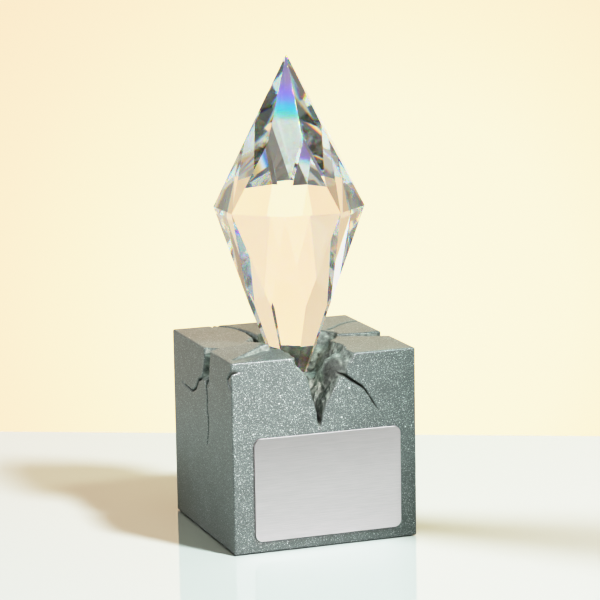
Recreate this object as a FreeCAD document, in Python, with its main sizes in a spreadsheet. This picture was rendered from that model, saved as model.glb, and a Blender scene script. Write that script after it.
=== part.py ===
"""Crystal award: a cut-crystal spire bonded into a cracked cast-stone cube with a metal plate on its front.

Frame: millimetres, +Z up. The origin is the centre of the award's underside; the plate faces -Y.
Nothing on the award moves, so its pieces only touch and are glued.
"""

import FreeCAD
import Part
import Sketcher
import math
import os

SIDES = 8
HALF_FACET = 180.0 / SIDES

SIZES = [
    ("block_side", 100.0, "width and depth of the stone cube"),
    ("block_top", 100.5, "height of the cube's top face above the table"),
    ("block_round", 1.0, "radius on the cube's edges"),
    ("slab_root", 2.0, "how deep the raised slabs start below the top face"),
    ("slab_rise", 5.0, "height of the raised slabs before their tops are sloped"),
    ("foam_thickness", 0.5, "pad under the cube"),
    ("foam_inset", 1.0, "how far the pad sits in from the cube's sides"),
    ("foam_corner", 3.0, "radius of the pad's corners"),
    ("crater_radius", 19.0, "mouth of the crater at the top face"),
    ("socket_mouth_height", 84.0, "where the crater narrows to the crystal's socket"),
    ("socket_mouth_radius", 10.0, "socket radius at its mouth"),
    ("socket_floor_height", 76.0, "bottom of the socket"),
    ("socket_floor_radius", 7.5, "socket radius at its floor"),
    ("glue_line", 1.0, "adhesive between the socket's floor and the crystal's foot"),
    ("glue_depth", 7.0, "depth of adhesive in the socket"),
    ("spire_top", 249.5, "top of the crystal, where its tip is polished blunt"),
    ("crown_tip", 250.3, "where the crown's main facets would meet"),
    ("crown_break_tip", 271.0, "where the crown's small facets would meet"),
    ("girdle_height", 171.0, "widest level of the crystal"),
    ("girdle_radius", 39.6, "from the axis to the crystal's widest corners"),
    ("pavilion_tip", 62.0, "where the pavilion's main facets would meet"),
    ("pavilion_break_tip", 34.0, "where the pavilion's small facets would meet"),
    ("plate_width", 80.0, "engraving plate"),
    ("plate_height", 54.0, "engraving plate"),
    ("plate_thickness", 1.0, "engraving plate"),
    ("plate_corner", 3.8, "radius of the plate's corners"),
    ("plate_edge_break", 0.2, "chamfer round the plate's front edge"),
    ("plate_centre_height", 33.5, "height of the plate's centre"),
    ("plate_shift", 1.0, "how far right of the cube's centre line the plate is glued"),
    ("tape_thickness", 0.4, "adhesive sheet behind the plate"),
    ("tape_inset", 0.5, "how far the sheet sits in from the plate's edge"),
    ("front_break_reach", 38.0, "how far the front break runs in from the front face"),
    ("left_gap_depth", 18.0, "depth of the gap at the left edge"),
    ("right_gap_depth", 12.0, "depth of the gap at the right edge"),
    ("back_crack_depth", 14.0, "depth of the crack that runs to the back edge"),
    ("hairline_depth", 3.0, "depth of the thin cracks that run down the sides"),
]

# Where the stone has split: closed outlines on the face that each split opens in.
FRONT_BREAK_XZ = [(-16.5, 101), (-15.5, 95), (-9, 89), (-7.5, 80), (-4.5, 69), (-3.5, 62),
                  (-1.5, 69), (3, 80), (7, 86), (12, 90), (14, 96), (17.5, 101)]
FRONT_CRACK_XZ = [(6, 90), (13, 88.5), (20, 83.5), (24, 78), (31, 66), (23.2, 77), (19.3, 82),
                  (12.5, 86.5), (6, 87)]
CORNER_SLAB_XY = [(-49, -46), (-49, -16.5), (-42.5, -12.5), (-32, -15), (-27, -16.5), (-20, -26.5), (-26, -27.5),
                  (-36, -35.5), (-47, -43)]
FRONT_SLAB_XY = [(-49, -49), (-43, -46), (-37, -44), (-31.5, -40), (-27.5, -37), (-23, -32.5), (-17.5, -31.5),
                 (-17, -49)]
CORNER_SLAB_SLOPE = [(-52, -0.26), (-12, 4.94), (-12, 9), (-52, 9)]
FRONT_SLAB_SLOPE = [(-52, -0.2), (-29, 2.1), (-29, 9), (-52, 9)]
LEFT_GAP_XY = [(-51, -16), (-51, -6), (-47, -8), (-38, -6), (-27, -3), (-15, -2), (-15, -4), (-27, -5),
               (-38, -9), (-45, -13)]
RIGHT_GAP_XY = [(51, -16), (51, -2), (40, -2), (29, 0), (24, 11), (14, 12), (14, -8), (30, -8), (44, -13)]
BACK_CRACK_XY = [(-27, 51), (-20, 41), (-17, 35), (-16, 22), (-17, 8), (-11, 8), (-14, 22), (-16, 35),
                 (-19, 42), (-25.5, 51)]
LEFT_CRACK_YZ = [(-7, 84), (-8.5, 73), (-7.5, 69), (-9.5, 62), (-7, 49), (-10.5, 62), (-8.7, 69), (-10, 74),
                 (-10, 84)]
LEFT_BRANCH_YZ = [(-3, 84), (5, 82), (11, 76), (18, 73.7), (34, 74.5), (18, 72.5), (10, 74.5), (4, 80), (-3, 81)]
CORNER_CRACK_YZ = [(-50.5, 98), (-47, 94.5), (-43, 91.5), (-46, 88), (-44.5, 91.3), (-48, 93), (-50.5, 95)]


def make_sheet(doc):
    """Puts the driving sizes into a spreadsheet, one row each: name, value, meaning."""
    sheet = doc.addObject("Spreadsheet::Sheet", "Sizes")
    for row, (alias, value, meaning) in enumerate(SIZES, start=1):
        sheet.set(f"A{row}", alias)
        sheet.set(f"B{row}", str(value))
        sheet.setAlias(f"B{row}", alias)
        sheet.set(f"C{row}", meaning)
    doc.recompute()


def new_body(doc, label):
    body = doc.addObject("PartDesign::Body", label)
    body.Label = label
    return body


def new_sketch(body, role, name, lift="", turn=0.0):
    """Attaches a sketch to one of the body's own origin planes, lifted by an expression and turned in its plane."""
    plane = next(feature for feature in body.Origin.OriginFeatures if feature.Role == role)
    sketch = body.newObject("Sketcher::SketchObject", name)
    sketch.AttachmentSupport = [(plane, "")]
    sketch.MapMode = "FlatFace"
    sketch.AttachmentOffset = FreeCAD.Placement(FreeCAD.Vector(), FreeCAD.Rotation(turn, 0, 0))
    if lift:
        sketch.setExpression("AttachmentOffset.Base.z", lift)
    return sketch


def draw_outline(sketch, points):
    """Draws a closed chain of straight lines through the points."""
    corners = [FreeCAD.Vector(u, v, 0) for u, v in points]
    count = len(corners)
    for i in range(count):
        sketch.addGeometry(Part.LineSegment(corners[i], corners[(i + 1) % count]), False)
    for i in range(count):
        sketch.addConstraint(Sketcher.Constraint("Coincident", i, 2, (i + 1) % count, 1))


def draw_rectangle(sketch, width, height):
    """Draws a rectangle centred on the sketch's origin, its width and height bound to expressions."""
    draw_outline(sketch, [(-10, -10), (10, -10), (10, 10), (-10, 10)])
    for line, direction in enumerate(["Horizontal", "Vertical", "Horizontal", "Vertical"]):
        sketch.addConstraint(Sketcher.Constraint(direction, line))
    sketch.addConstraint(Sketcher.Constraint("Symmetric", 0, 1, 1, 2, -1, 1))
    wide = sketch.addConstraint(Sketcher.Constraint("DistanceX", 0, 1, 0, 2, 20))
    tall = sketch.addConstraint(Sketcher.Constraint("DistanceY", 1, 1, 1, 2, 20))
    sketch.setExpression(f"Constraints[{wide}]", width)
    sketch.setExpression(f"Constraints[{tall}]", height)


def draw_octagon(sketch, inradius):
    """Draws a regular octagon round the sketch's origin, with a flat towards +X."""
    start = 10.0
    angles = [math.radians(HALF_FACET * (2 * i - 1)) for i in range(SIDES)]
    draw_outline(sketch, [(start * math.cos(a), start * math.sin(a)) for a in angles])
    ring = sketch.addGeometry(Part.Circle(FreeCAD.Vector(), FreeCAD.Vector(0, 0, 1), start), True)
    sketch.addConstraint(Sketcher.Constraint("Coincident", ring, 3, -1, 1))
    for line in range(SIDES):
        sketch.addConstraint(Sketcher.Constraint("PointOnObject", line, 1, ring))
    for line in range(1, SIDES):
        sketch.addConstraint(Sketcher.Constraint("Equal", 0, line))
    sketch.addConstraint(Sketcher.Constraint("Vertical", 0))
    radius = sketch.addConstraint(Sketcher.Constraint("Radius", ring, start))
    sketch.setExpression(f"Constraints[{radius}]", f"{inradius} / cos({HALF_FACET})")


def pad(body, sketch, name, length, taper="", reverse=False):
    feature = body.newObject("PartDesign::Pad", name)
    feature.Profile = sketch
    feature.Reversed = reverse
    feature.setExpression("Length", length)
    if taper:
        feature.setExpression("TaperAngle", taper)
    return feature


def pocket(body, role, name, outline, lift, depth, reverse=False):
    """Cuts an outline into the body, from a face of the block inwards."""
    sketch = new_sketch(body, role, name + "Outline", lift)
    draw_outline(sketch, outline)
    feature = body.newObject("PartDesign::Pocket", name)
    feature.Profile = sketch
    feature.Reversed = reverse
    feature.setExpression("Length", depth)
    return feature


def edges_along(shape, direction):
    """Names the straight edges of a shape that run along a direction."""
    names = []
    for i, edge in enumerate(shape.Edges, start=1):
        span = edge.Vertexes[-1].Point - edge.Vertexes[0].Point
        if abs(abs(span.dot(direction)) - span.Length) < 1e-6:
            names.append(f"Edge{i}")
    return names


def round_edges(body, base, name, edges, radius):
    feature = body.newObject("PartDesign::Fillet", name)
    feature.Base = (base, edges)
    feature.setExpression("Radius", radius)
    return feature


def rounded_slab(doc, label, role, width, height, corner, thickness, lift="", rise="", shift=""):
    """Makes a flat sheet with rounded corners, its sketch lifted off the origin plane and moved in it."""
    body = new_body(doc, label)
    sketch = new_sketch(body, role, label + "_outline", lift)
    if rise:
        sketch.setExpression("AttachmentOffset.Base.y", rise)
    if shift:
        sketch.setExpression("AttachmentOffset.Base.x", shift)
    draw_rectangle(sketch, width, height)
    slab = pad(body, sketch, label + "_sheet", thickness)
    doc.recompute()
    normal = sketch.Placement.Rotation.multVec(FreeCAD.Vector(0, 0, 1))
    round_edges(body, slab, label + "_corners", edges_along(slab.Shape, normal), corner)
    doc.recompute()
    return body


def make_stone_base(doc):
    """The cast block: a rounded cube with a crater, a socket for the crystal, a broken front and cracks."""
    body = new_body(doc, "stone_base")
    footprint = new_sketch(body, "XY_Plane", "Footprint", "Sizes.foam_thickness")
    draw_rectangle(footprint, "Sizes.block_side", "Sizes.block_side")
    cube = pad(body, footprint, "Cube", "Sizes.block_top - Sizes.foam_thickness")
    doc.recompute()
    all_edges = [f"Edge{i}" for i in range(1, len(cube.Shape.Edges) + 1)]
    round_edges(body, cube, "WornEdges", all_edges, "Sizes.block_round")
    lift_slabs(body)
    make_crater(body)

    top, front, left = "Sizes.block_top", "Sizes.block_side / 2", "-Sizes.block_side / 2"
    pocket(body, "XZ_Plane", "FrontBreak", FRONT_BREAK_XZ, front, "Sizes.front_break_reach")
    pocket(body, "XZ_Plane", "FrontCrack", FRONT_CRACK_XZ, front, "Sizes.hairline_depth")
    pocket(body, "XY_Plane", "LeftGap", LEFT_GAP_XY, top, "Sizes.left_gap_depth")
    pocket(body, "XY_Plane", "RightGap", RIGHT_GAP_XY, top, "Sizes.right_gap_depth")
    pocket(body, "XY_Plane", "BackCrack", BACK_CRACK_XY, top, "Sizes.back_crack_depth")
    pocket(body, "YZ_Plane", "LeftCrack", LEFT_CRACK_YZ, left, "Sizes.hairline_depth", reverse=True)
    pocket(body, "YZ_Plane", "LeftBranch", LEFT_BRANCH_YZ, left, "Sizes.hairline_depth", reverse=True)
    pocket(body, "YZ_Plane", "CornerCrack", CORNER_CRACK_YZ, left, "Sizes.hairline_depth", reverse=True)
    return body


def lift_slabs(body):
    """Adds the two slabs the crystal has pushed up: each an upright prism cut off along a gentle slope."""
    far_side = "-Sizes.block_side / 2"
    for name, outline, role, slope in (("FrontSlab", FRONT_SLAB_XY, "YZ_Plane", FRONT_SLAB_SLOPE),
                                       ("CornerSlab", CORNER_SLAB_XY, "XZ_Plane", CORNER_SLAB_SLOPE)):
        sketch = new_sketch(body, "XY_Plane", name + "Outline", "Sizes.block_top - Sizes.slab_root")
        draw_outline(sketch, outline)
        pad(body, sketch, name, "Sizes.slab_root + Sizes.slab_rise")
        above = pocket(body, role, name + "Slope", slope, far_side, "Sizes.block_side", reverse=True)
        above.Profile[0].setExpression("AttachmentOffset.Base.y", "Sizes.block_top")


def make_crater(body):
    """Turns the crater and the socket out of the block: half of their section, swung round the vertical axis."""
    section = new_sketch(body, "XZ_Plane", "CraterSection")
    draw_outline(section, [(0, 76), (7.5, 76), (10, 84), (19, 100), (19, 105), (0, 105)])
    section.addConstraint(Sketcher.Constraint("Horizontal", 0))
    section.addConstraint(Sketcher.Constraint("Vertical", 3))
    section.addConstraint(Sketcher.Constraint("Horizontal", 4))
    section.addConstraint(Sketcher.Constraint("PointOnObject", 5, 1, -2))
    section.addConstraint(Sketcher.Constraint("PointOnObject", 5, 2, -2))
    corners = [
        (0, "Sizes.socket_floor_radius", "Sizes.socket_floor_height"),
        (1, "Sizes.socket_mouth_radius", "Sizes.socket_mouth_height"),
        (2, "Sizes.crater_radius", "Sizes.block_top"),
        (3, None, "Sizes.block_top + 1"),
    ]
    for line, radius, height in corners:
        if radius:
            across = section.addConstraint(Sketcher.Constraint("DistanceX", -1, 1, line, 2, 10))
            section.setExpression(f"Constraints[{across}]", radius)
        up = section.addConstraint(Sketcher.Constraint("DistanceY", -1, 1, line, 2, 90))
        section.setExpression(f"Constraints[{up}]", height)
    groove = body.newObject("PartDesign::Groove", "Crater")
    groove.Profile = section
    groove.ReferenceAxis = (section, ["V_Axis"])
    groove.Angle = 360.0
    return groove


def make_double_pyramid(doc, label, inradius, upper_tip, lower_tip, turn):
    """An eight-sided double pyramid, its upper tip cut off at the crystal's top and its lower at the foot."""
    body = new_body(doc, label)
    girdle = new_sketch(body, "XY_Plane", label + "_girdle", "Sizes.girdle_height", turn)
    draw_octagon(girdle, inradius)
    up = "Sizes.spire_top - Sizes.girdle_height"
    down = "Sizes.girdle_height - Sizes.socket_floor_height - Sizes.glue_line"
    crown_slope = f"-atan(({inradius}) / ({upper_tip} - Sizes.girdle_height))"
    pavilion_slope = f"-atan(({inradius}) / (Sizes.girdle_height - {lower_tip}))"
    pad(body, girdle, label + "_crown", up, crown_slope)
    pad(body, girdle, label + "_pavilion", down, pavilion_slope, reverse=True)
    return body


def make_crystal(doc):
    """The crystal: what two double pyramids share. Eight main facets run from each tip down to the girdle's
    corners, and eight small three-sided ones, steeper, stand between them at the girdle."""
    mains = make_double_pyramid(doc, "main_facets", "Sizes.girdle_radius", "Sizes.crown_tip",
                                "Sizes.pavilion_tip", HALF_FACET)
    breaks = make_double_pyramid(doc, "break_facets", f"Sizes.girdle_radius * cos({HALF_FACET})",
                                 "Sizes.crown_break_tip", "Sizes.pavilion_break_tip", 0.0)
    crystal = doc.addObject("Part::MultiCommon", "crystal_spire")
    crystal.Shapes = [mains, breaks]
    crystal.Label = "crystal_spire"
    return crystal


def make_bond(doc, crystal):
    """The adhesive: the lower part of the conical socket less the crystal that stands in it."""
    socket = doc.addObject("Part::Cone", "SocketFill")
    socket.setExpression("Radius1", "Sizes.socket_floor_radius")
    widening = "(Sizes.socket_mouth_radius - Sizes.socket_floor_radius)"
    share = "Sizes.glue_depth / (Sizes.socket_mouth_height - Sizes.socket_floor_height)"
    socket.setExpression("Radius2", f"Sizes.socket_floor_radius + {widening} * {share}")
    socket.setExpression("Height", "Sizes.glue_depth")
    socket.setExpression("Placement.Base.z", "Sizes.socket_floor_height")
    bond = doc.addObject("Part::Cut", "crystal_bond")
    bond.Base = socket
    bond.Tool = crystal
    bond.Label = "crystal_bond"
    return bond


def make_plate(doc):
    """The plate: a rounded sheet with its front edge broken."""
    body = rounded_slab(doc, "engraving_plate", "XZ_Plane", "Sizes.plate_width", "Sizes.plate_height",
                        "Sizes.plate_corner", "Sizes.plate_thickness",
                        lift="Sizes.block_side / 2 + Sizes.tape_thickness", rise="Sizes.plate_centre_height",
                        shift="Sizes.plate_shift")
    sheet = body.Tip
    faces = sheet.Shape.Faces
    front = min(range(len(faces)), key=lambda i: faces[i].CenterOfMass.y)
    chamfer = body.newObject("PartDesign::Chamfer", "BrokenEdge")
    chamfer.Base = (sheet, [f"Face{front + 1}"])
    chamfer.setExpression("Size", "Sizes.plate_edge_break")
    return body


def make_tape(doc):
    return rounded_slab(doc, "plate_tape", "XZ_Plane", "Sizes.plate_width - 2 * Sizes.tape_inset",
                        "Sizes.plate_height - 2 * Sizes.tape_inset", "Sizes.plate_corner - Sizes.tape_inset",
                        "Sizes.tape_thickness", lift="Sizes.block_side / 2", rise="Sizes.plate_centre_height",
                        shift="Sizes.plate_shift")


def make_pad(doc):
    side = "Sizes.block_side - 2 * Sizes.foam_inset"
    return rounded_slab(doc, "base_pad", "XY_Plane", side, side, "Sizes.foam_corner", "Sizes.foam_thickness")


def check(doc, pieces):
    """Stops if any feature failed, any cut removed nothing, or any piece isn't one sound solid."""
    for thing in doc.Objects:
        if "Invalid" in thing.State or "Error" in thing.State:
            raise RuntimeError(f"{thing.Label} failed: {thing.State}")
        if thing.TypeId in ("PartDesign::Pocket", "PartDesign::Groove"):
            if thing.Shape.Volume > thing.BaseFeature.Shape.Volume - 1.0:
                raise RuntimeError(f"{thing.Label} cut nothing")
    for piece in pieces:
        shape = piece.Shape
        if shape.isNull() or not shape.isValid() or len(shape.Solids) != 1:
            raise RuntimeError(f"{piece.Label} isn't one valid solid")


def main():
    doc = FreeCAD.newDocument("CrystalAward")
    make_sheet(doc)
    crystal = make_crystal(doc)
    pieces = [crystal, make_bond(doc, crystal), make_stone_base(doc), make_plate(doc), make_tape(doc),
              make_pad(doc)]
    doc.recompute()
    check(doc, pieces)
    os.makedirs("parts", exist_ok=True)
    for piece in pieces:
        piece.Shape.exportStep(f"parts/{piece.Label}.step")
        print(piece.Label, f"{piece.Shape.Volume / 1000:.1f} cm3", piece.Shape.BoundBox)


main()
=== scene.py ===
import math

import bmesh
import bpy
import numpy as np
import openvdb
from mathutils import Matrix, Vector, noise


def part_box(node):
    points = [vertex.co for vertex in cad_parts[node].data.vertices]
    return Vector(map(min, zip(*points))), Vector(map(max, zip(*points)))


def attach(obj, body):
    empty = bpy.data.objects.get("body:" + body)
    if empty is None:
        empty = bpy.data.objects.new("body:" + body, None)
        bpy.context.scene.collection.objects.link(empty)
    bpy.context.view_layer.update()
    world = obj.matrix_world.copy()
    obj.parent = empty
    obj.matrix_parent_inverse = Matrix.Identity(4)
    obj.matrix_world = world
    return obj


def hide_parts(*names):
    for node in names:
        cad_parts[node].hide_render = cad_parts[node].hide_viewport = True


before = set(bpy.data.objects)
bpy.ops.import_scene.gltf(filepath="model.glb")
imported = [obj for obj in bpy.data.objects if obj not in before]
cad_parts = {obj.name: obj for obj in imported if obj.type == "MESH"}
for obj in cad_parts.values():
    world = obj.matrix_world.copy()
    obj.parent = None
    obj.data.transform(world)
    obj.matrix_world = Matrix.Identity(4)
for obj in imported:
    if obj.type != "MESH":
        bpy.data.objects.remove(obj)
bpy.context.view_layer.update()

MM = 0.001
STONE_LOW, STONE_HIGH = [np.array(corner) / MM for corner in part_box("stone_base")]
HALF = float(STONE_HIGH[0])
BOTTOM = float(STONE_LOW[2])
TOP = BOTTOM + 2 * HALF


# ---------------------------------------------------------------------------------------------------------
# Small helpers for shader nodes
# ---------------------------------------------------------------------------------------------------------

def new_material(name):
    material = bpy.data.materials.new(name)
    material.use_nodes = True
    material.node_tree.nodes.clear()
    return material, material.node_tree


def node(tree, kind, **settings):
    """Adds a shader node. A setting named after an input sets that input, anything else is an attribute."""
    made = tree.nodes.new("ShaderNode" + kind)
    for key, value in settings.items():
        label = key.replace("_", " ")
        if label in made.inputs:
            if isinstance(value, bpy.types.NodeSocket):
                tree.links.new(value, made.inputs[label])
            else:
                made.inputs[label].default_value = value
        else:
            setattr(made, key, value)
    return made


def link(tree, source, target):
    tree.links.new(source, target)


def ramp(tree, source, stops):
    """A colour ramp over a value: stops are (place, colour)."""
    made = node(tree, "ValToRGB")
    link(tree, source, made.inputs["Fac"])
    elements = made.color_ramp.elements
    while len(elements) < len(stops):
        elements.new(0.5)
    for element, (place, colour) in zip(elements, stops):
        element.position = place
        element.color = colour if len(colour) == 4 else (*colour, 1.0)
    return made.outputs["Color"]


def mix(tree, factor, first, second, blend="MIX"):
    made = tree.nodes.new("ShaderNodeMix")
    made.data_type = "RGBA"
    made.blend_type = blend
    for socket, value in zip((made.inputs[0], made.inputs[6], made.inputs[7]), (factor, first, second)):
        if isinstance(value, bpy.types.NodeSocket):
            link(tree, value, socket)
        elif isinstance(value, tuple):
            socket.default_value = (*value, 1.0)
        else:
            socket.default_value = value
    return made.outputs[2]


def math_node(tree, operation, *values, clamp=False):
    made = tree.nodes.new("ShaderNodeMath")
    made.operation = operation
    made.use_clamp = clamp
    for socket, value in zip(made.inputs, values):
        if isinstance(value, bpy.types.NodeSocket):
            link(tree, value, socket)
        else:
            socket.default_value = value
    return made.outputs[0]


def distance(tree, where, centre):
    made = node(tree, "VectorMath", operation="DISTANCE")
    link(tree, where, made.inputs[0])
    made.inputs[1].default_value = centre
    return made.outputs["Value"]


def output(tree, shader):
    out = tree.nodes.new("ShaderNodeOutputMaterial")
    link(tree, shader, out.inputs["Surface"])


# ---------------------------------------------------------------------------------------------------------
# The stone: a signed distance field in millimetres, carved and turned into a mesh
# ---------------------------------------------------------------------------------------------------------

# The grid's step, its room round the block and above it, and the height where cracks may begin.
VOXEL = 0.4
MARGIN = 1.2
RAISED_ROOM = 7.0
CRACKED_FROM = 44.0

# How round the block's edges are worn; how far below a cast face the stone starts to look broken, and over
# what further depth it turns so; the size of the finished mesh; and the seed of the random fields.
EDGE_WEAR = 0.45
RAW_FROM, RAW_FADE = 0.25, 0.6
STONE_TRIANGLES = 170000
SEED = 7

# The crater, the raised pieces (how deep they start, and how their tops climb away from the block's edges),
# the boulder in the front break, the room for the crystal (a cone) and the socket that holds its foot.
CRATER_DEPTH = 17.0
RAISED_ROOT = 10.0
SLAB_CLIMB = 0.13
WEDGE_CLIMB = 0.10
FRONT_BREAK_BACK = -14.0
BOULDER_CENTRE = (13.0, -37.0, 86.0)
BOULDER_RADII = (9.5, 12.0, 11.5)
CONE_TIP, CONE_SPREAD, CONE_FROM, CONE_GAP = 62.0, 0.394, 84.0, 0.9
SOCKET_FLOOR, SOCKET_TOP, SOCKET_RADIUS, SOCKET_SPREAD = 76.0, 84.5, 7.5, 0.3125

# Raised pieces and openings seen from above (x, y); the front break and the side gaps seen face on.
SLAB_XY = [(-53, -53), (-53, -16.5), (-46, -13.5), (-42.5, -12.5), (-38, -13), (-32, -15), (-27, -16.5),
           (-20, -26.5), (-26, -27.5), (-36, -35.5), (-47, -43), (-50, -49)]
WEDGE_XY = [(-50, -53), (-50, -49.5), (-43, -46), (-37, -44), (-31.5, -40), (-27.5, -37), (-23, -32.5),
            (-17.5, -31.5), (-16, -53)]
CRATER_XY = [(-15, -34), (-18, -26), (-19, -18), (-20, -12), (-17, -5), (-24, 1), (-20, 9), (-16, 12),
             (-13, 17), (-4, 20), (6, 19), (15, 17), (24, 12), (27, 3), (24, -7), (18, -14), (19, -24),
             (17, -38), (6, -36), (-4, -33)]
FRONT_BREAK_XZ = [(-16.8, 106), (-16.4, 100), (-15.2, 95), (-13.5, 93.5), (-11.4, 91.5), (-9.2, 89),
                  (-8.2, 85), (-7.3, 80), (-5.8, 76), (-4.6, 71), (-3.8, 64), (-3.4, 61), (-2.2, 65),
                  (-1, 71), (1, 75.5), (4.3, 81.5), (6.5, 85), (9, 88.5), (11.6, 89.5), (12.5, 92.5),
                  (13.5, 95.5), (15.6, 98), (17.2, 101), (18, 106)]
LEFT_GAP_YZ = [(-16.3, 106), (-15.8, 99), (-14.9, 95), (-14.2, 92.5), (-12.5, 86.5), (-10.4, 81.5),
               (-5, 82.5), (3.7, 82), (-0.9, 85), (-4.3, 91.5), (-5.3, 94), (-5.8, 106)]
RIGHT_GAP_YZ = [(-15.6, 106), (-15, 97), (-13, 92), (-12, 87), (-8, 84), (-4, 83), (-3.5, 88), (-1.5, 93),
                (-2.2, 106)]

# Cracks as chains of (across, up, half width).
LEFT_TOP_CRACK = [(-50, -12, 1.6), (-46, -12, 0.9), (-42, -11.2, 0.7), (-38, -11.5, 0.7), (-32, -13.4, 0.8),
                  (-26, -14.6, 1.0), (-17, -16, 1.3)]
BACK_TOP_CRACK = [(-27, 52, 0.7), (-20.4, 42, 0.8), (-17.6, 35.5, 1.0), (-15.7, 24, 1.4), (-16, 8, 2.4)]
RIGHT_HAIRLINE = [(26, 14, 0.7), (30, 17.5, 0.5), (36.3, 24.3, 0.42), (42.4, 28.8, 0.4), (52, 31, 0.35)]
LEFT_FACE_CRACK = [(-7.2, 84, 2.0), (-7.8, 80.5, 0.9), (-8.8, 77, 0.6), (-9.0, 73.2, 0.55), (-8, 69, 0.5),
                   (-10, 64, 0.5), (-9.5, 57, 0.42), (-7, 49.5, 0.3)]
LEFT_FACE_BRANCH = [(2, 82.5, 0.9), (5.4, 81.3, 0.7), (10.5, 75.8, 0.6), (17, 73, 0.5), (24.1, 73.5, 0.42),
                    (34.2, 74.5, 0.3)]
CORNER_CRACK = [(-51, 101, 1.0), (-50.3, 96.4, 0.9), (-47.4, 94, 0.8), (-43.6, 91.3, 0.65),
                (-45.7, 88.4, 0.5), (-48.8, 86.8, 0.4)]
FRONT_CRACK = [(8, 90, 1.2), (11.8, 88.9, 1.0), (13.5, 87.4, 0.9), (17, 85, 0.75), (20.4, 82.6, 0.62),
               (22.3, 80.6, 0.42), (24.5, 77, 0.34), (26.9, 73, 0.28), (29.7, 68.7, 0.22), (31.4, 66, 0.15)]
BACK_FACE_CRACK = [(-28, 101, 0.8), (-29, 92, 0.6), (-26, 84, 0.5), (-28, 74, 0.4), (-25, 66, 0.3)]
RIGHT_FACE_CRACK = [(-8, 86, 1.4), (-9, 79, 0.7), (-6, 72, 0.55), (-8, 63, 0.42), (-5, 56, 0.3)]


def grid_axis(low, high):
    return np.arange(low, high + VOXEL, VOXEL, dtype=np.float32)


xs = grid_axis(-HALF - MARGIN, HALF + MARGIN)
ys = xs
zs = grid_axis(BOTTOM - MARGIN, TOP + RAISED_ROOM)
first_cracked = int(np.searchsorted(zs, CRACKED_FROM))
upper_zs = zs[first_cracked:]
X, Y, Z = xs[:, None, None], ys[None, :, None], upper_zs[None, None, :]


def noise_field(cell, seed):
    """A smooth random field between -1 and 1 over the upper grid, its features about one cell across."""
    rng = np.random.default_rng(SEED + seed)
    weights = []
    for values in (xs, ys, upper_zs):
        place = (values - values[0]) / cell
        low = np.floor(place).astype(int)
        part = place - low
        part = part * part * (3 - 2 * part)
        rows = np.arange(len(values))
        table = np.zeros((len(values), low[-1] + 2), np.float32)
        table[rows, low] = 1 - part
        table[rows, low + 1] += part
        weights.append(table)
    field = rng.uniform(-1, 1, [w.shape[1] for w in weights]).astype(np.float32)
    for table in weights:
        field = np.tensordot(field, table, (0, 1))
    return field


def outline_distance(u, v, points):
    """Signed distance in a plane to a closed outline, negative inside it."""
    u, v = np.broadcast_arrays(u, v)
    best = np.full(u.shape, 1e9, np.float32)
    inside = np.zeros(u.shape, bool)
    for (ax, ay), (bx, by) in zip(points, points[1:] + points[:1]):
        ex, ey = bx - ax, by - ay
        along = np.clip(((u - ax) * ex + (v - ay) * ey) / (ex * ex + ey * ey), 0, 1)
        best = np.minimum(best, np.hypot(u - ax - along * ex, v - ay - along * ey))
        if ay != by:
            inside ^= ((ay > v) != (by > v)) & (u < ax + (v - ay) * ex / ey)
    return np.where(inside, -best, best).astype(np.float32)


def crack_distance(u, v, chain, inward, depth):
    """Distance to a crack that is widest at its face and closes at a depth."""
    u, v = np.broadcast_arrays(u, v)
    best = None
    for (ax, ay, aw), (bx, by, bw) in zip(chain, chain[1:]):
        ex, ey = bx - ax, by - ay
        along = np.clip(((u - ax) * ex + (v - ay) * ey) / (ex * ex + ey * ey), 0, 1)
        off = np.hypot(u - ax - along * ex, v - ay - along * ey)
        piece = off - (aw + along * (bw - aw)) * (1 - inward / depth)
        best = piece if best is None else np.minimum(best, piece)
    return best


def blend_min(a, b, width):
    h = np.clip(0.5 + 0.5 * (b - a) / width, 0, 1)
    return b + (a - b) * h - width * h * (1 - h)


def block_field():
    """The rounded cube before it was broken."""
    qx = (np.abs(xs) - HALF + EDGE_WEAR)[:, None, None]
    qy = (np.abs(ys) - HALF + EDGE_WEAR)[None, :, None]
    qz = (np.abs(zs - (TOP + BOTTOM) / 2) - (TOP - BOTTOM) / 2 + EDGE_WEAR)[None, None, :]
    outside = np.sqrt(np.maximum(qx, 0) ** 2 + np.maximum(qy, 0) ** 2 + np.maximum(qz, 0) ** 2)
    return outside + np.minimum(np.maximum(np.maximum(qx, qy), qz), 0) - EDGE_WEAR


def sheared_outline(points, shift):
    """An outline in (y, z) that slides sideways with x, by a shift given for each x."""
    step = VOXEL / 2
    wide_y = np.arange(-HALF - 20, HALF + 20, step, dtype=np.float32)
    table = outline_distance(wide_y[:, None], upper_zs[None, :], points)
    rows = np.round((ys[None, :] - shift[:, None] - wide_y[0]) / step).astype(int)
    return table[rows]


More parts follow.
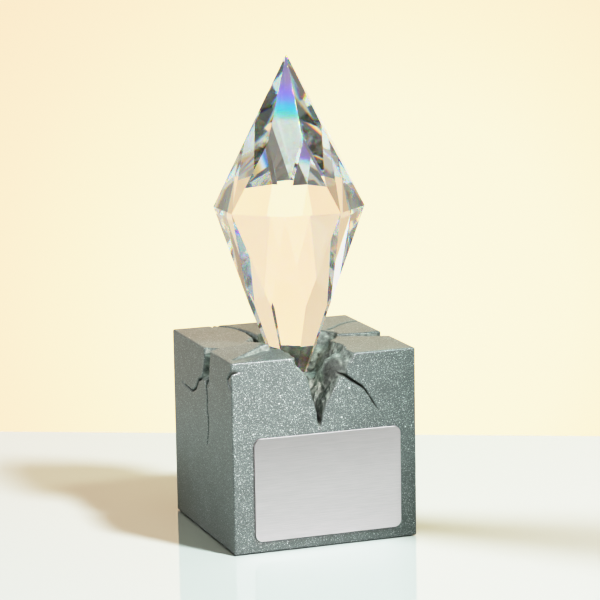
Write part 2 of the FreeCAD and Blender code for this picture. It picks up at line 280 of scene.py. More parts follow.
def stone_field():
    """Distance to the broken block's surface, negative inside the stone."""
    field = block_field()
    upper = field[:, :, first_cracked:]
    coarse, medium, fine, grit = (noise_field(c, i) for i, c in enumerate((11.0, 4.5, 2.0, 0.95)))
    rough = 1.3 * coarse + 1.6 * (0.45 - np.abs(medium)) + 0.55 * fine + 0.28 * grit
    wiggle = 0.5 * fine + 0.25 * grit
    sides = np.maximum(np.abs(X) - HALF, np.abs(Y) - HALF)
    drop = TOP - Z

    def carve(cutter):
        np.maximum(upper, -cutter, out=upper)

    # The two pieces at the front left that the crystal has pushed up.
    wedge = np.maximum(outline_distance(X, Y, WEDGE_XY) + 0.3 * medium, -drop - WEDGE_CLIMB * (Y + HALF))
    slab = np.maximum(outline_distance(X, Y, SLAB_XY) - 0.25 * drop + 0.5 * medium + 0.2 * fine,
                      -drop - SLAB_CLIMB * (X + HALF))
    for piece in (wedge, slab):
        upper[:] = blend_min(upper, np.maximum(np.maximum(piece, sides), drop - RAISED_ROOT), 0.3)

    crater = (outline_distance(X, Y, CRATER_XY) + 0.62 * drop) * 0.85 + 0.75 * rough
    carve(np.maximum(crater, drop - CRATER_DEPTH + 0.8 * medium))

    inward = Y + HALF
    front = outline_distance(X, Z, FRONT_BREAK_XZ) + 0.10 * inward + rough * np.clip(inward / 4, 0.12, 0.7)
    carve(np.maximum(front, Y - FRONT_BREAK_BACK))
    (x, y, z), (wide, deep, high) = BOULDER_CENTRE, BOULDER_RADII
    off = np.sqrt(((X - x) / wide) ** 2 + ((Y - y) / deep) ** 2 + ((Z - z) / high) ** 2)
    boulder = off * wide - wide
    upper[:] = blend_min(upper, np.maximum(boulder + 0.5 * rough, 0.6 - inward), 1.2)
    carve(crack_distance(X, Z, FRONT_CRACK, inward, 6.0) + 0.2 * wiggle)

    inward = X + HALF
    gap_wall = rough * np.clip(inward / 4, 0.12, 0.6)
    carve(outline_distance(Y, Z, LEFT_GAP_YZ) + 0.75 * inward + gap_wall)
    for chain, depth in ((LEFT_FACE_CRACK, 6.0), (LEFT_FACE_BRANCH, 5.0), (CORNER_CRACK, 5.0)):
        carve(crack_distance(Y, Z, chain, inward, depth) + 0.2 * wiggle)

    inward = HALF - X
    shift = np.interp(xs, [20, 27, 34, 42, 50], [8, 5, 3, 1.2, 0]).astype(np.float32)
    gap_wall = rough * np.clip(inward / 4, 0.12, 0.6)
    carve(sheared_outline(RIGHT_GAP_YZ, shift) + 0.13 * inward + gap_wall)
    carve(crack_distance(Y, Z, RIGHT_FACE_CRACK, inward, 6.0) + 0.2 * wiggle)

    carve(crack_distance(X, Y, LEFT_TOP_CRACK, drop, 20.0) + 0.3 * wiggle)
    carve(crack_distance(X, Y, BACK_TOP_CRACK, drop, 18.0) + 0.4 * wiggle)
    carve(crack_distance(X, Y, RIGHT_HAIRLINE, drop, 3.5) + 0.2 * wiggle)
    carve(crack_distance(X, Z, BACK_FACE_CRACK, HALF - Y, 5.0) + 0.2 * wiggle)

    # Room for the crystal, then the socket that holds its foot.
    radius = np.hypot(X, Y)
    cone = np.maximum(radius - CONE_SPREAD * (Z - CONE_TIP) - CONE_GAP, CONE_FROM - Z)
    wall = radius - SOCKET_RADIUS - SOCKET_SPREAD * (Z - SOCKET_FLOOR)
    socket = np.maximum(np.maximum(wall, SOCKET_FLOOR - Z), Z - SOCKET_TOP)
    carve(np.minimum(cone, socket))
    return field


def soften(field):
    """Rounds the field's sharp lips by about a voxel and leaves flat faces where they are."""
    for direction in range(3):
        field = 0.5 * field + 0.25 * (np.roll(field, 1, direction) + np.roll(field, -1, direction))
    return field


def keep_largest_island(mesh):
    """Deletes the crumbs that cracks have cut loose from the block."""
    shape = bmesh.new()
    shape.from_mesh(mesh)
    unseen = set(shape.verts)
    islands = []
    while unseen:
        island = [unseen.pop()]
        for corner in island:
            for edge in corner.link_edges:
                other = edge.other_vert(corner)
                if other in unseen:
                    unseen.remove(other)
                    island.append(other)
        islands.append(island)
    crumbs = [corner for island in sorted(islands, key=len)[:-1] for corner in island]
    bmesh.ops.delete(shape, geom=crumbs, context="VERTS")
    shape.to_mesh(mesh)
    shape.free()


def stone_mesh():
    """The field's surface as a mesh, thinned to STONE_TRIANGLES where it is smooth."""
    band = 3 * VOXEL
    field = soften(np.clip(stone_field(), -band, band))
    grid = openvdb.FloatGrid(band)
    grid.copyFromArray(np.ascontiguousarray(field, dtype=np.float32))
    points, triangles, quads = grid.convertToPolygons(isovalue=0.0, adaptivity=0.0)
    points = (points * VOXEL + np.array([xs[0], ys[0], zs[0]])) * MM
    mesh = bpy.data.meshes.new("stone_fine")
    faces = quads[:, ::-1].tolist() + triangles[:, ::-1].tolist()
    mesh.from_pydata(points.tolist(), [], faces)
    fine = bpy.data.objects.new("stone_fine", mesh)
    bpy.context.scene.collection.objects.link(fine)
    shrink = fine.modifiers.new("shrink", "DECIMATE")
    shrink.ratio = min(1.0, STONE_TRIANGLES / (2 * len(quads) + len(triangles)))
    baked = bpy.data.meshes.new_from_object(fine.evaluated_get(bpy.context.evaluated_depsgraph_get()))
    bpy.data.objects.remove(fine)
    baked.name = "stone"
    keep_largest_island(baked)
    return baked


def mark_fracture(mesh):
    """Stores how far each point lies below the block's cast faces: 0 on a face, 1 deep in a break."""
    count = len(mesh.vertices)
    points = np.empty(count * 3, np.float32)
    mesh.vertices.foreach_get("co", points)
    x, y, z = (points.reshape(-1, 3) / MM).T
    cast_top = np.full(count, TOP)
    in_slab = outline_distance(x, y, SLAB_XY) < 0.5
    in_wedge = outline_distance(x, y, WEDGE_XY) < 0.5
    cast_top[in_wedge] = TOP + WEDGE_CLIMB * (y[in_wedge] + HALF)
    cast_top[in_slab] = TOP + SLAB_CLIMB * (x[in_slab] + HALF)
    below = np.minimum(np.minimum(HALF - np.abs(x), HALF - np.abs(y)), cast_top - z)
    below = np.minimum(below, z - BOTTOM)
    broken = np.clip((below - RAW_FROM) / RAW_FADE, 0, 1).astype(np.float32)
    layer = mesh.attributes.new("fracture", "FLOAT", "POINT")
    layer.data.foreach_set("value", broken)


def make_stone():
    mesh = stone_mesh()
    mark_fracture(mesh)
    mesh.shade_smooth()
    stone = bpy.data.objects.new("cast_stone_block", mesh)
    bpy.context.scene.collection.objects.link(stone)
    normals = stone.modifiers.new("flat_face_normals", "WEIGHTED_NORMAL")
    normals.weight = 100
    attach(stone, "root")
    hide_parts("stone_base")
    return stone


# ---------------------------------------------------------------------------------------------------------
# The crystal, its adhesive, the plate, the tape and the pad
# ---------------------------------------------------------------------------------------------------------

# How much the crystal bends light, how far that differs from red to violet, and in how many bands; after how
# many bounces light inside it is replaced by a painted glow of pale studio light, and that glow; its tint;
# what its shadow lets through; and the width of its polished edges.
CRYSTAL_IOR = 1.508
DISPERSION = 0.03
BANDS = 7
DEEPEST_BOUNCE = 7
PAINTED_GLOW, PAINTED_GLOW_STRENGTH = (0.95, 0.90, 0.80, 1.0), 0.7
CRYSTAL_TINT = (0.985, 0.99, 0.985, 1.0)
CRYSTAL_SHADOW = (0.43, 0.43, 0.37, 1.0)
ARRIS = 0.04 * MM


def spectrum():
    """Bands from red to violet: a place between -0.5 and 0.5, and a colour. The colours add up to white."""
    def hump(place, centre):
        return math.exp(-((place - centre) / 0.19) ** 2)

    places = [i / (BANDS - 1) - 0.5 for i in range(BANDS)]
    colours = [(hump(p, -0.36) + 0.12 * hump(p, 0.55), hump(p, -0.02), hump(p, 0.34)) for p in places]
    total = [sum(colour[i] for colour in colours) for i in range(3)]
    return [(p, tuple(c / t for c, t in zip(colour, total))) for p, colour in zip(places, colours)]


def faceted_copy(name, source):
    """A copy of a CAD node's mesh with its triangles merged into whole flat facets."""
    shape = bmesh.new()
    shape.from_mesh(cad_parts[source].data)
    bmesh.ops.remove_doubles(shape, verts=shape.verts, dist=1e-6)
    bmesh.ops.dissolve_limit(shape, angle_limit=math.radians(0.5), verts=shape.verts, edges=shape.edges)
    mesh = bpy.data.meshes.new(name)
    shape.to_mesh(mesh)
    shape.free()
    mesh.shade_flat()
    piece = bpy.data.objects.new(name, mesh)
    bpy.context.scene.collection.objects.link(piece)
    return piece


def crystal_material():
    """Clear optical crystal. Light that enters is split into bands that bend by slightly different amounts.

    Light still inside after many bounces is replaced by a painted glow of pale studio light."""
    material, tree = new_material("optical_crystal")
    entering = None
    for place, colour in spectrum():
        bend = CRYSTAL_IOR + place * DISPERSION
        band = node(tree, "BsdfGlass", Color=(*colour, 1.0), Roughness=0.0, IOR=bend)
        if entering is None:
            entering = band.outputs[0]
        else:
            both = node(tree, "AddShader")
            link(tree, entering, both.inputs[0])
            link(tree, band.outputs[0], both.inputs[1])
            entering = both.outputs[0]
    inside = node(tree, "BsdfGlass", Color=CRYSTAL_TINT, Roughness=0.0, IOR=CRYSTAL_IOR)
    geometry = node(tree, "NewGeometry")
    glass = node(tree, "MixShader")
    link(tree, geometry.outputs["Backfacing"], glass.inputs[0])
    link(tree, entering, glass.inputs[1])
    link(tree, inside.outputs[0], glass.inputs[2])
    path = node(tree, "LightPath")
    # Painted glow: rays still inside after DEEPEST_BOUNCE bounces see the crystal glow pale instead of
    # glass.
    lost = math_node(tree, "GREATER_THAN", path.outputs["Ray Depth"], DEEPEST_BOUNCE)
    pale = node(tree, "Emission", Color=PAINTED_GLOW, Strength=PAINTED_GLOW_STRENGTH)
    glass_or_painted_glow = node(tree, "MixShader")
    link(tree, lost, glass_or_painted_glow.inputs[0])
    link(tree, glass.outputs[0], glass_or_painted_glow.inputs[1])
    link(tree, pale.outputs[0], glass_or_painted_glow.inputs[2])
    soft_light = math_node(tree, "MAXIMUM", path.outputs["Is Shadow Ray"], path.outputs["Is Diffuse Ray"])
    clear = node(tree, "BsdfTransparent", Color=CRYSTAL_SHADOW)
    final = node(tree, "MixShader")
    link(tree, soft_light, final.inputs[0])
    link(tree, glass_or_painted_glow.outputs[0], final.inputs[1])
    link(tree, clear.outputs[0], final.inputs[2])
    output(tree, final.outputs[0])
    return material


def make_crystal():
    crystal = faceted_copy("cut_crystal", "crystal_spire")
    arris = crystal.modifiers.new("polished_arrises", "BEVEL")
    arris.width = ARRIS
    arris.segments = 1
    arris.limit_method = "ANGLE"
    arris.angle_limit = math.radians(3)
    crystal.data.materials.append(crystal_material())
    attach(crystal, "root")
    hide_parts("crystal_spire")


def uneven_copy(name, source, material, rounding, spacing, jitter):
    """Stands in for a soft CAD solid: its shape with rounded edges and a skin that dips in places."""
    piece = faceted_copy(name, source)
    shape = bmesh.new()
    shape.from_mesh(piece.data)
    sharp = [edge for edge in shape.edges if edge.calc_face_angle(0) > math.radians(40)]
    bmesh.ops.bevel(shape, geom=sharp, offset=rounding, segments=2, affect="EDGES", clamp_overlap=True)
    low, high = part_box(source)
    for axis in range(3):
        for i in range(1, int((high[axis] - low[axis]) / spacing)):
            cut, across = [0, 0, 0], [0, 0, 0]
            cut[axis], across[axis] = low[axis] + i * spacing, 1
            everything = shape.verts[:] + shape.edges[:] + shape.faces[:]
            bmesh.ops.bisect_plane(shape, geom=everything, plane_co=cut, plane_no=across)
    shape.normal_update()
    for corner in shape.verts:
        corner.co -= corner.normal * jitter * (0.5 + 0.5 * noise.noise(corner.co / spacing * 0.7))
    shape.to_mesh(piece.data)
    shape.free()
    piece.data.shade_smooth()
    piece.data.materials.append(material)
    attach(piece, "root")
    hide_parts(source)


def give(name, material):
    """Gives a CAD node a material in every slot."""
    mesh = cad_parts[name].data
    mesh.materials.clear()
    mesh.materials.append(material)


def place_coordinates(tree):
    return node(tree, "TexCoord").outputs["Object"]


def cloud_noise(tree, where, size, detail, roughness=0.5):
    """Smooth random clouds, about one for each size in millimetres."""
    made = node(tree, "TexNoise", Vector=where, Scale=1.0 / (size * MM), Detail=detail, Roughness=roughness)
    return made.outputs["Fac"]


# Tape and foam.
BLACK = (0.02, 0.02, 0.02)


def simple_material(name, colour, roughness, grain, bump):
    """A matt material with fine random grain in its colour and its surface."""
    material, tree = new_material(name)
    where = place_coordinates(tree)
    speck = cloud_noise(tree, where, grain, 4.0)
    dark, light = [tuple(c * part for c in colour) for part in (0.6, 1.4)]
    tone = ramp(tree, speck, [(0.3, dark), (0.7, light)])
    relief = node(tree, "Bump", Height=speck, Strength=bump, Distance=0.1 * MM)
    surface = node(tree, "BsdfPrincipled", Base_Color=tone, Roughness=roughness, Normal=relief.outputs[0])
    output(tree, surface.outputs[0])
    return material


def speckles(tree, where, spacing, radius, share):
    """White specks as a mask: one in each cell of the spacing, random in size, in a share of the cells."""
    cells = node(tree, "TexVoronoi", Vector=where, Scale=1.0 / (spacing * MM), Randomness=1.0)
    chance = node(tree, "SeparateColor", Color=cells.outputs["Color"])
    reach = radius / spacing
    size = math_node(tree, "MULTIPLY_ADD", chance.outputs["Red"], 0.6 * reach, 0.7 * reach)
    rim = math_node(tree, "SUBTRACT", size, cells.outputs["Distance"])
    dot = math_node(tree, "MULTIPLY", rim, spacing / (0.25 * radius), clamp=True)
    kept = math_node(tree, "LESS_THAN", chance.outputs["Green"], share)
    shine = math_node(tree, "MULTIPLY_ADD", chance.outputs["Blue"], 0.6, 0.4)
    return math_node(tree, "MULTIPLY", math_node(tree, "MULTIPLY", dot, kept), shine)


# The stone's colours on its cast faces and where it is broken, and painted shade that darkens it towards
# its foot.
STONE_DARK = (0.019, 0.026, 0.023)
STONE_LIGHT = (0.074, 0.096, 0.087)
STONE_SPECK = (0.44, 0.49, 0.46)
STONE_ROUGHNESS = 0.40
PAINTED_FOOT_SHADE = ((0.0, 0.82), (0.35, 0.96), (0.6, 1.0))
BREAK_DARK = (0.034, 0.042, 0.034)
BREAK_MID = (0.125, 0.148, 0.126)
BREAK_LIGHT = (0.30, 0.34, 0.29)

# Painted shade and painted light in places on the stone: shade in the hollow at the crystal's foot, in a
# recess of the front break and low on the rear of the left face; light on two broken walls that lie in
# shadow. Each has a centre, the radius of its core and the width of its rim in mm, and a tint.
PAINTED_LIGHT_AND_SHADE_PLACES = [((2, 13, 84), 10.5, 4.5, (0.23, 0.20, 0.17)),
                ((6.5, -42, 92), 4.5, 4, (0.26, 0.26, 0.24)),
                ((3, -30.5, 84), 4, 6, (2.9, 2.9, 2.8)),
                ((15, 2, 86), 4, 6, (2.4, 2.0, 1.95)),
                ((-50, 50, 0), 6, 36, (0.58, 0.54, 0.46))]


def stone_material():
    """Grey-green cast stone: fine grain and white specks on the cast faces, coarser where broken."""
    material, tree = new_material("speckled_cast_stone")
    where = place_coordinates(tree)
    broken = node(tree, "Attribute", attribute_name="fracture").outputs["Fac"]
    grain = cloud_noise(tree, where, 0.55, 3.0, 0.7)
    patch = cloud_noise(tree, where, 9.0, 4.0)
    crumb = cloud_noise(tree, where, 3.0, 6.0, 0.65)

    cast = ramp(tree, grain, [(0.38, STONE_DARK), (0.62, STONE_LIGHT)])
    tiny = math_node(tree, "MULTIPLY", speckles(tree, where, 0.70, 0.22, 0.9), 0.6)
    small = math_node(tree, "MULTIPLY", speckles(tree, where, 1.25, 0.27, 0.6), 0.75)
    large = speckles(tree, where, 4.6, 0.42, 0.4)
    dots = math_node(tree, "MAXIMUM", math_node(tree, "MAXIMUM", tiny, small), large)
    cast = mix(tree, dots, cast, STONE_SPECK)
    # Corners and edges that stand out are worn pale.
    edge = node(tree, "NewGeometry").outputs["Pointiness"]
    worn = math_node(tree, "MULTIPLY_ADD", edge, 9.0, -4.9, clamp=True)
    cast = mix(tree, math_node(tree, "MULTIPLY", worn, 0.35), cast, BREAK_LIGHT)
    raw = ramp(tree, crumb, [(0.32, BREAK_DARK), (0.52, BREAK_MID), (0.72, BREAK_LIGHT)])
    tone = mix(tree, broken, cast, raw)
    shade = ramp(tree, patch, [(0.3, (0.88, 0.88, 0.88)), (0.7, (1.12, 1.12, 1.12))])
    tone = mix(tree, 1.0, tone, shade, "MULTIPLY")
    height = math_node(tree, "DIVIDE", node(tree, "SeparateXYZ", Vector=where).outputs["Z"], TOP * MM)
    # Painted shade: the colour darkens towards the foot of the block.
    foot = ramp(tree, height, [(place, (grey, grey, grey)) for place, grey in PAINTED_FOOT_SHADE])
    tone = mix(tree, 1.0, tone, foot, "MULTIPLY")
    # Painted shade: the colour darkens in cracks and narrow hollows, by how little of their surroundings
    # they see.
    crevice_openness = node(tree, "AmbientOcclusion", Distance=3.5 * MM, samples=4, only_local=True).outputs["AO"]
    painted_crevice_shade = ramp(tree, crevice_openness, [(0.36, (0.17, 0.18, 0.16)), (0.88, (1.0, 1.0, 1.0))])
    tone = mix(tree, 1.0, tone, painted_crevice_shade, "MULTIPLY")
    # Painted light and shade: each tint darkens or lightens the colour within its place.
    for centre, core, rim, painted_tint in PAINTED_LIGHT_AND_SHADE_PLACES:
        out = distance(tree, where, [c * MM for c in centre])
        beyond_painted_place = math_node(tree, "MULTIPLY_ADD", out, 1 / (rim * MM), -core / rim, clamp=True)
        tone = mix(tree, beyond_painted_place, mix(tree, 1.0, tone, painted_tint, "MULTIPLY"), tone)

    rough = math_node(tree, "MULTIPLY_ADD", broken, 0.3, STONE_ROUGHNESS)
    pits = node(tree, "Bump", Height=grain, Strength=0.35, Distance=0.08 * MM)
    depth = math_node(tree, "MULTIPLY", broken, 0.9)
    chips = node(tree, "Bump", Height=crumb, Strength=depth, Distance=0.9 * MM, Normal=pits.outputs[0])
    surface = node(tree, "BsdfPrincipled", Base_Color=tone, Roughness=rough, Normal=chips.outputs[0])
    output(tree, surface.outputs[0])
    return material


# The plate's colour by height, as parts of PLATE_REACH: its tint, and a painted reflection of the bright
# table that makes it lighter towards its foot.
PLATE_REACH = 60 * MM
PLATE_TINT_AND_PAINTED_REFLECTION = [(0.1, (0.84, 0.72, 0.76)), (0.55, (0.77, 0.66, 0.69)), (1.0, (0.59, 0.50, 0.52))]


def plate_material():
    """Satin aluminium brushed along its length; painted reflection brightens it towards its foot."""
    material, tree = new_material("satin_aluminium")
    where = place_coordinates(tree)
    stretched = node(tree, "Mapping", Vector=where, Scale=(0.02, 1.0, 1.0))
    brushed = cloud_noise(tree, stretched.outputs[0], 0.22, 3.0)
    height = node(tree, "SeparateXYZ", Vector=where).outputs["Z"]
    climb = math_node(tree, "DIVIDE", height, PLATE_REACH)
    # Painted reflection: the colour is lighter towards the plate's foot.
    tone = ramp(tree, climb, PLATE_TINT_AND_PAINTED_REFLECTION)
    grain = ramp(tree, brushed, [(0.3, (0.93, 0.93, 0.93)), (0.7, (1.07, 1.07, 1.07))])
    rough = math_node(tree, "MULTIPLY_ADD", brushed, 0.16, 0.25)
    relief = node(tree, "Bump", Height=brushed, Strength=0.12, Distance=0.02 * MM)
    surface = node(tree, "BsdfPrincipled", Base_Color=mix(tree, 1.0, tone, grain, "MULTIPLY"), Metallic=1.0,
                   Roughness=rough, Normal=relief.outputs[0])
    output(tree, surface.outputs[0])
    return material


def bond_material():
    """Clear set adhesive over dark stone: cloudy in places, with small bubbles, glossy on top."""
    material, tree = new_material("clear_adhesive")
    where = place_coordinates(tree)
    cloud = cloud_noise(tree, where, 2.2, 3.0)
    tone = ramp(tree, cloud, [(0.35, (0.035, 0.037, 0.030)), (0.65, (0.10, 0.105, 0.088))])
    tone = mix(tree, speckles(tree, where, 1.1, 0.16, 0.5), tone, (0.30, 0.32, 0.29))
    rough = math_node(tree, "MULTIPLY_ADD", cloud, 0.3, 0.1)
    relief = node(tree, "Bump", Height=cloud, Strength=0.3, Distance=0.3 * MM)
    surface = node(tree, "BsdfPrincipled", Base_Color=tone, Roughness=rough, Coat_Weight=0.6,
                   Normal=relief.outputs[0])
    output(tree, surface.outputs[0])
    return material


# ---------------------------------------------------------------------------------------------------------
# Camera, table, backdrop and lights
# ---------------------------------------------------------------------------------------------------------

# The camera; the table's back edge and how far it is turned; the backdrop's distance and its lower edge; and
# half the width of both (degrees and metres).
CAMERA_AZIMUTH = -19.67
CAMERA_ELEVATION = 10.42
CAMERA_ROLL = -0.98
CAMERA_PLACE = Vector((-0.4464, -1.2636, 0.3673))
CAMERA_LENS = 155.4
TABLE_BACK = 0.205
TABLE_SKEW = 6.3
WALL_BACK = 0.9
WALL_BOTTOM = -1.5
SET_HALF = 2.5

# A strip of gauze between the main light and the table: the path of its shadow on the table, and how far
# from the table towards the light it hangs there (x, y, half width, part of the way).
FLAG_PATH = [(0.042, -0.004, 0.018, 0.08), (0.235, -0.073, 0.030, 0.27)]
GAUZE_LETS_THROUGH = (0.10, 0.115, 0.065, 1.0)

# The painted rainbow glow on the table, seen only through the crystal: where it is, and its colours along
# it, from the object outwards.
RAINBOW_CENTRE = (-0.266, -0.203)
RAINBOW_REACH = 0.045
RAINBOW_START = -0.244
RAINBOW_LENGTH = 0.032
RAINBOW = [(0.0, (0.62, 0.50, 0.34)), (0.30, (0.95, 0.66, 0.26)), (0.42, (1.0, 0.86, 0.36)),
           (0.54, (0.66, 1.0, 0.62)), (0.62, (0.20, 0.95, 1.10)), (0.70, (0.05, 0.55, 1.50)),
           (0.80, (0.22, 0.22, 1.05)), (0.90, (0.38, 0.32, 0.60)), (1.0, (0.75, 0.85, 0.80))]

# The backdrop's brightness: by distance in metres from the middle of the pool of light on it, and by height
# below the table's level. Only the crystal sees that part, and makes of it the colours in its middle facet.
# Their zone fades in from LOW_TOP down to LOW_BOTTOM, and is dull beyond a half width to either side of its
# centre. The backdrop looks bluer in glossy surfaces.
WALL_CENTRE = (0.07, -0.05)
WALL_REACH = 2.0
WALL_WHITE = 2.2
WALL_LOW = [(-0.79, (0.80, 1.16, 1.40)), (-0.776, (0.26, 1.10, 1.75)), (-0.762, (0.02, 0.76, 2.05)),
            (-0.749, (0.10, 0.44, 1.80)), (-0.735, (0.32, 0.29, 1.10)), (-0.72, (0.40, 0.30, 0.66)),
            (-0.67, (0.34, 0.29, 0.55)), (-0.60, (0.27, 0.24, 0.27)), (-0.48, (0.18, 0.16, 0.14))]
LOW_TOP, LOW_BOTTOM = -0.15, -0.40
LOW_CENTRE = -0.11
LOW_HALF_WIDTH, LOW_EDGE = 0.2333, 0.0833
WALL_DULL = (0.24, 0.22, 0.18)
WALL_IN_GLOSS = (1.0, 1.18, 1.40)
WALL_GLOW = [(0.0, (2.15, 1.75, 0.97)), (0.18, (2.1, 1.66, 0.90)), (0.26, (2.1, 1.48, 0.79)),
             (0.33, (2.1, 1.30, 0.72)), (0.40, (2.05, 1.18, 0.67)), (0.62, (1.4, 0.98, 0.62)),
             (1.0, (0.5, 0.36, 0.24)), (1.5, (0.12, 0.09, 0.06))]

# A white panel far to the left on the backdrop that only the crystal sees, in its right rim.
PANEL_CENTRE = (-1.11, 0.64)
PANEL_REACH = 0.28
PANEL_EDGE = 0.1
PANEL_WHITE = (1.9, 1.85, 1.75)

# The rest of the studio as the crystal sees it: straight down is 0, level is 0.5, straight up is 1.
STUDIO_SIDES = [(0.42, (0.05, 0.05, 0.05)), (0.50, (0.46, 0.45, 0.39)), (0.66, (0.25, 0.26, 0.21)),
                (0.80, (0.22, 0.24, 0.25)), (1.0, (0.10, 0.11, 0.12))]

# Lights round the award: name, degrees to the right of the camera, degrees up, metres away, size in metres,
# watts, colour.
LIGHT_TARGET = (0, 0, 0.09)
LIGHTS = [
    ("key", 50, 49, 2.6, 0.33, 126.0, (0.835, 1.0, 0.975)),
    ("left", -93, 24, 1.2, 0.45, 17.0, (0.93, 0.98, 1.0)),
    ("back", 160, 34, 0.95, 0.4, 1.7, (0.55, 1.0, 0.95)),
    ("sky", 0, 80, 1.6, 1.0, 6.6, (0.88, 1.0, 0.73)),
]
# Lights that reach only some things, and the spotlight on the stone.
LIT_ONLY = {"left": "object", "back": "object", "sky": "table"}
SPOT_POWER = 120.0
SPOT_COLOUR = (0.95, 0.83, 0.88)
SPOT_TARGET = (-0.205, -0.05, 0.08)
SPOT_AZIMUTH, SPOT_ELEVATION, SPOT_DISTANCE = 37, 20, 1.0
SPOT_HALF_ANGLE, SPOT_BLEND, SPOT_SIZE = 15.0, 0.3, 0.05


def turned(azimuth, elevation):
    """The direction from the object towards a viewer at an azimuth and elevation in degrees."""
    a, e = math.radians(azimuth), math.radians(elevation)
    return Vector((math.sin(a) * math.cos(e), -math.cos(a) * math.cos(e), math.sin(e)))


def make_camera():
    data = bpy.data.cameras.new("camera")
    data.lens = CAMERA_LENS
    data.sensor_width = 36.0
    data.clip_start, data.clip_end = 0.05, 30.0
    camera = bpy.data.objects.new("camera", data)
    back = turned(CAMERA_AZIMUTH, CAMERA_ELEVATION)
    right = Vector((math.cos(math.radians(CAMERA_AZIMUTH)), math.sin(math.radians(CAMERA_AZIMUTH)), 0))
    up = back.cross(right)
    roll = math.radians(CAMERA_ROLL)
    axes = Matrix((right * math.cos(roll) + up * math.sin(roll),
                   up * math.cos(roll) - right * math.sin(roll), back)).transposed()
    camera.matrix_world = Matrix.Translation(CAMERA_PLACE) @ axes.to_4x4()
    bpy.context.scene.collection.objects.link(camera)
    bpy.context.scene.camera = camera
    return camera


def make_turntable(camera):
    """An empty that keeps its -Y side to the camera, so the set stays behind the object in every view."""
    base = bpy.data.objects.new("set_base", None)
    bpy.context.scene.collection.objects.link(base)
    follow = base.constraints.new("LOCKED_TRACK")
    follow.target = camera
    follow.track_axis = "TRACK_NEGATIVE_Y"
    follow.lock_axis = "LOCK_Z"
    return base


def stage_sheet(name, corners, material, base):
    mesh = bpy.data.meshes.new(name)
    mesh.from_pydata(corners, [], [tuple(range(len(corners)))])
    sheet = bpy.data.objects.new(name, mesh)
    sheet.data.materials.append(material)
    bpy.context.scene.collection.objects.link(sheet)
    sheet.parent = base
    return sheet


def gauze_material():
    """Thin cloth that lets part of the light through."""
    material, tree = new_material("flag_gauze")
    output(tree, node(tree, "BsdfTransparent", Color=GAUZE_LETS_THROUGH).outputs[0])
    return material


def table_material():
    """Pale glossy table top; through the crystal it glows with the small painted rainbow the crystal throws.
    """
    material, tree = new_material("table")
    surface = node(tree, "BsdfPrincipled", Base_Color=(0.815, 0.815, 0.80, 1.0), Roughness=0.04, IOR=1.42)
    where = place_coordinates(tree)
    place = node(tree, "SeparateXYZ", Vector=where)
    across = place.outputs["X"]
    along = math_node(tree, "MULTIPLY_ADD", across, -1 / RAINBOW_LENGTH, RAINBOW_START / RAINBOW_LENGTH)
    colours = ramp(tree, along, [(part, tuple(c / 2 for c in colour)) for part, colour in RAINBOW])
    near = math_node(tree, "LESS_THAN", distance(tree, where, (*RAINBOW_CENTRE, 0)), RAINBOW_REACH)
    through = math_node(tree, "MULTIPLY", near, node(tree, "LightPath").outputs["Is Transmission Ray"])
    # Painted light: the rainbow glows from the table itself, for rays that come through the crystal.
    glow = node(tree, "Emission", Color=colours, Strength=2.0)
    final = node(tree, "MixShader")
    link(tree, through, final.inputs[0])
    link(tree, surface.outputs[0], final.inputs[1])
    link(tree, glow.outputs[0], final.inputs[2])
    output(tree, final.outputs[0])
    return material


def wall_part(colour):
    """A backdrop colour as a part of its full brightness."""
    return tuple(c / WALL_WHITE for c in colour)


def on_wall(place):
    """A point on the backdrop from how far across and how far up it is."""
    return (place[0], WALL_BACK, place[1])


def wall_material():
    """A cream backdrop with a pool of light on it and, below the table's level, what the crystal shows."""
    material, tree = new_material("wall")
    where = place_coordinates(tree)
    place = node(tree, "SeparateXYZ", Vector=where)
    path = node(tree, "LightPath")
    through = path.outputs["Is Transmission Ray"]
    reach = math_node(tree, "DIVIDE", distance(tree, where, on_wall(WALL_CENTRE)), WALL_REACH)
    pool = ramp(tree, reach, [(r / WALL_REACH, wall_part(colour)) for r, colour in WALL_GLOW])
    mirrored = math_node(tree, "SUBTRACT", path.outputs["Is Glossy Ray"], through, clamp=True)
    pool = mix(tree, mirrored, pool, mix(tree, 1.0, pool, WALL_IN_GLOSS, "MULTIPLY"))
    panel_off = distance(tree, where, on_wall(PANEL_CENTRE))
    panel = math_node(tree, "MULTIPLY_ADD", panel_off, -1 / PANEL_EDGE, PANEL_REACH / PANEL_EDGE, clamp=True)
    pool = mix(tree, math_node(tree, "MULTIPLY", panel, through), pool, wall_part(PANEL_WHITE))

    depth = math_node(tree, "ADD", place.outputs["Z"], 1.0)
    under = ramp(tree, depth, [(z + 1.0, wall_part(colour)) for z, colour in WALL_LOW])
    aside = math_node(tree, "ABSOLUTE", math_node(tree, "SUBTRACT", place.outputs["X"], LOW_CENTRE))
    far_aside = math_node(tree, "MULTIPLY_ADD", aside, 1 / LOW_EDGE, -LOW_HALF_WIDTH / LOW_EDGE, clamp=True)
    under = mix(tree, far_aside, under, wall_part(WALL_DULL))
    fade = LOW_TOP - LOW_BOTTOM
    above = math_node(tree, "MULTIPLY_ADD", place.outputs["Z"], 1 / fade, -LOW_BOTTOM / fade, clamp=True)
    above = math_node(tree, "MAXIMUM", above, path.outputs["Is Camera Ray"])
    glow = node(tree, "Emission", Color=mix(tree, above, under, pool), Strength=WALL_WHITE)
    output(tree, glow.outputs[0])
    return material


def place_light(light, place, target, base):
    bpy.context.scene.collection.objects.link(light)
    light.parent = base
    light.location = place
    light.rotation_mode = "QUATERNION"
    light.rotation_quaternion = (place - target).to_track_quat("Z", "Y")


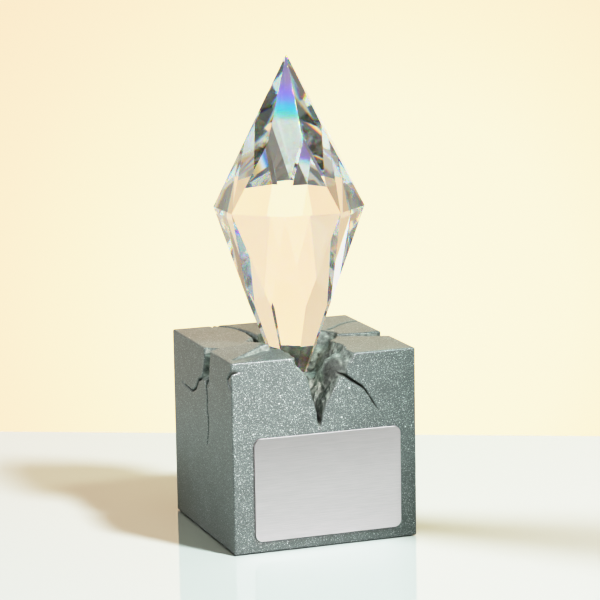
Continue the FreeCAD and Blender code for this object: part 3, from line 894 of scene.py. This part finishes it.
def area_light(name, azimuth, elevation, away, size, power, colour, base):
    data = bpy.data.lights.new(name, "AREA")
    data.shape = "DISK"
    data.size = size
    data.energy = power
    data.color = colour
    target = Vector(LIGHT_TARGET)
    light = bpy.data.objects.new(name, data)
    place_light(light, target + turned(azimuth, elevation) * away, target, base)
    return light


def stone_spot(base, receivers):
    """A soft-edged spotlight that only the stone sees, so the right of its front face falls off."""
    data = bpy.data.lights.new("stone_spot", "SPOT")
    data.energy = SPOT_POWER
    data.color = SPOT_COLOUR
    data.shadow_soft_size = SPOT_SIZE
    data.spot_size = math.radians(2 * SPOT_HALF_ANGLE)
    data.spot_blend = SPOT_BLEND
    light = bpy.data.objects.new("stone_spot", data)
    target = Vector(SPOT_TARGET)
    place_light(light, target + turned(SPOT_AZIMUTH, SPOT_ELEVATION) * SPOT_DISTANCE, target, base)
    light.light_linking.receiver_collection = receivers


def light_flag(key, base):
    """A strip of gauze that only dims light: it draws the soft dark band on the table to the right."""
    corners = []
    for x, y, half, part in FLAG_PATH + FLAG_PATH[::-1]:
        side = half if len(corners) < 2 else -half
        corners.append(Vector((x, y + side, 0)).lerp(key.location, part))
    flag = stage_sheet("light_flag", corners, gauze_material(), base)
    flag.visible_camera = False
    flag.visible_diffuse = False
    flag.visible_glossy = False
    flag.visible_transmission = False


def make_set(camera, stone):
    base = make_turntable(camera)
    side = SET_HALF
    skew = side * math.tan(math.radians(TABLE_SKEW))
    corners = [(-side, -side, 0), (side, -side, 0), (side, TABLE_BACK - skew, 0),
               (-side, TABLE_BACK + skew, 0)]
    table = stage_sheet("table", corners, table_material(), base)
    corners = [(-side, WALL_BOTTOM), (side, WALL_BOTTOM), (side, side), (-side, side)]
    corners = [on_wall(corner) for corner in corners]
    wall = stage_sheet("wall", corners, wall_material(), base)
    wall.visible_diffuse = False
    groups = {"object": [stone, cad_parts["engraving_plate"]], "table": [table], "stone": [stone]}
    receivers = {}
    for name, things in groups.items():
        receivers[name] = bpy.data.collections.new("lit_" + name)
        for thing in things:
            receivers[name].objects.link(thing)
    lights = {light[0]: area_light(*light, base) for light in LIGHTS}
    for name, group in LIT_ONLY.items():
        lights[name].light_linking.receiver_collection = receivers[group]
        lights[name].visible_transmission = False
    light_flag(lights["key"], base)
    stone_spot(base, receivers["stone"])


def make_world():
    """A dark studio; seen through the crystal its sides are pale near the level of the eye."""
    world = bpy.data.worlds.new("studio")
    bpy.context.scene.world = world
    world.use_nodes = True
    tree = world.node_tree
    up = node(tree, "SeparateXYZ", Vector=node(tree, "TexCoord").outputs["Generated"]).outputs["Z"]
    sides = ramp(tree, math_node(tree, "MULTIPLY_ADD", up, 0.5, 0.5), STUDIO_SIDES)
    through = node(tree, "LightPath").outputs["Is Transmission Ray"]
    link(tree, mix(tree, through, (0.03, 0.03, 0.03), sides), tree.nodes["Background"].inputs["Color"])
    tree.nodes["Background"].inputs["Strength"].default_value = 1.0


def film_curve():
    """Brightness as photographic film gives it: straight up to a knee, then rolling off towards white."""
    knee, white = 0.4, 4.0
    view = bpy.context.scene.view_settings
    view.view_transform = "Standard"
    view.look = "None"
    view.use_curve_mapping = True
    mapping = view.curve_mapping
    mapping.white_level = (white, white, white)
    curve = mapping.curves[3]
    for light in (0.2, 0.4, 0.6, 0.8, 1.0, 1.3, 1.6, 2.0, 2.5, 3.2):
        shown = light if light < knee else 1 - (1 - knee) * math.exp((knee - light) / (1 - knee))
        curve.points.new(light / white, shown)
    mapping.update()


stone = make_stone()
stone.data.materials.append(stone_material())
make_crystal()
bond_look = bond_material()
uneven_copy("adhesive_bead", "crystal_bond", bond_look, 0.2 * MM, 1.5 * MM, 0.10 * MM)
give("engraving_plate", plate_material())
tape_look = simple_material("tape_film", BLACK, 0.5, 0.3, 0.2)
uneven_copy("tape_sheet", "plate_tape", tape_look, 0.08 * MM, 4 * MM, 0.04 * MM)
pad_look = simple_material("pad_foam", BLACK, 0.9, 0.25, 0.4)
uneven_copy("foam_pad", "base_pad", pad_look, 0.12 * MM, 4 * MM, 0.06 * MM)
camera = make_camera()
make_set(camera, stone)
make_world()
film_curve()
bpy.context.scene.cycles.max_bounces = 24
bpy.context.scene.cycles.transmission_bounces = 20
bpy.context.scene.cycles.glossy_bounces = 8
